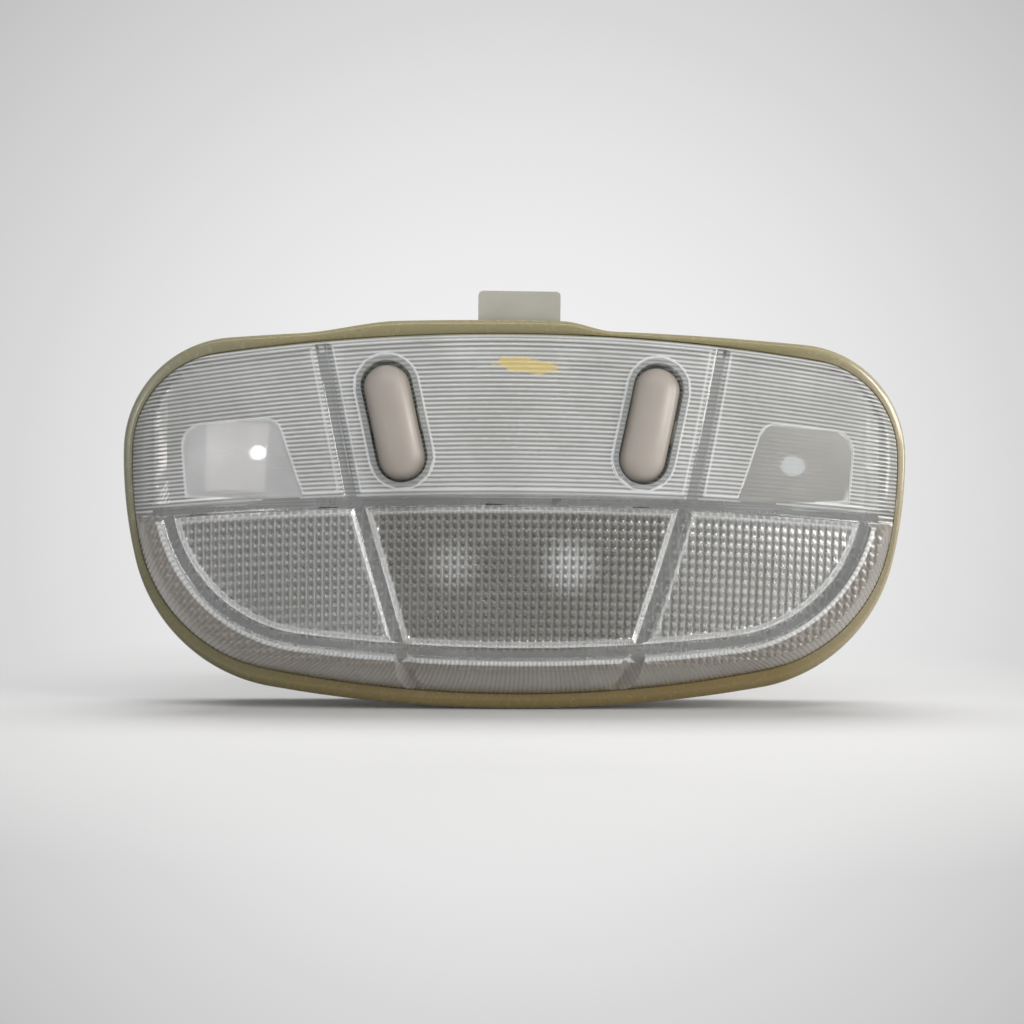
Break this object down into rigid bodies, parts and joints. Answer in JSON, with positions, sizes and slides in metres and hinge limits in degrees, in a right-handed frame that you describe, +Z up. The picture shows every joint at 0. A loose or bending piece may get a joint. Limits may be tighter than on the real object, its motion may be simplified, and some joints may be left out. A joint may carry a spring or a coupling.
{
  "type": "car dome light",
  "caption": "Roof-mounted car dome light: wide clear lens with fluted and waffled panels in an olive bezel, tilted rocker switches, map-lamp windows and a rear housing with a tongue.",
  "frame": {"origin": "middle of the bezel's seat plane, halfway along the bezel's width, where the light's back meets the roof panel", "axes": "+X to the right as the lens is looked at, +Z up towards the tongue, -Y out of the lens towards the viewer, +Y back into the roof"},
  "size_m": [0.2076, 0.052, 0.1109],
  "materials": {
    "olive_plastic": "worn translucent olive-grey plastic",
    "clear_lens": "clear plastic, dulled by age, with fluted and waffled panels",
    "grey_plastic": "satin grey plastic",
    "pale_plastic": "moulded pale grey nylon",
    "reflector_metal": "bright formed sheet",
    "bulb_glass": "clear bulb glass",
    "cap_metal": "plated end caps",
    "contact_brass": "stamped brass strip",
    "black_plastic": "black heat-resistant plastic",
    "spring_steel": "bare spring steel",
    "shield_metal": "thin bare sheet"
  },
  "bodies": {
    "light": {"bezel": "olive_plastic", "lens": "clear_lens", "rear_housing": "pale_plastic", "roof_tongue": "pale_plastic", "left_switch_base": "pale_plastic", "right_switch_base": "pale_plastic", "dome_reflector": "reflector_metal", "left_reflector": "reflector_metal", "right_reflector": "reflector_metal", "festoon_glass": "bulb_glass", "festoon_caps": "cap_metal", "left_festoon_contact": "contact_brass", "right_festoon_contact": "contact_brass", "left_map_bulb": "bulb_glass", "right_map_bulb": "bulb_glass", "left_bulb_holder": "black_plastic", "right_bulb_holder": "black_plastic", "ground_strip": "contact_brass", "feed_strip": "contact_brass", "left_switch_strip": "contact_brass", "right_switch_strip": "contact_brass", "left_switch_spring": "spring_steel", "right_switch_spring": "spring_steel", "terminal_pins": "contact_brass", "left_spring_clip": "spring_steel", "right_spring_clip": "spring_steel", "heat_shield": "shield_metal"},
    "left_switch": {"left_rocker": "grey_plastic"},
    "right_switch": {"right_rocker": "grey_plastic"}
  },
  "joints": [
    {"name": "left_switch_rock", "type": "hinge", "parent": "light", "child": "left_switch", "pos_m": [-0.03321, -0.00906, 0.02374], "axis": [0.977, 0, 0.213], "range_deg": [-6, 6]},
    {"name": "right_switch_rock", "type": "hinge", "parent": "light", "child": "right_switch", "pos_m": [0.03321, -0.00906, 0.02374], "axis": [0.977, 0, -0.213], "range_deg": [-6, 6]}
  ]
}
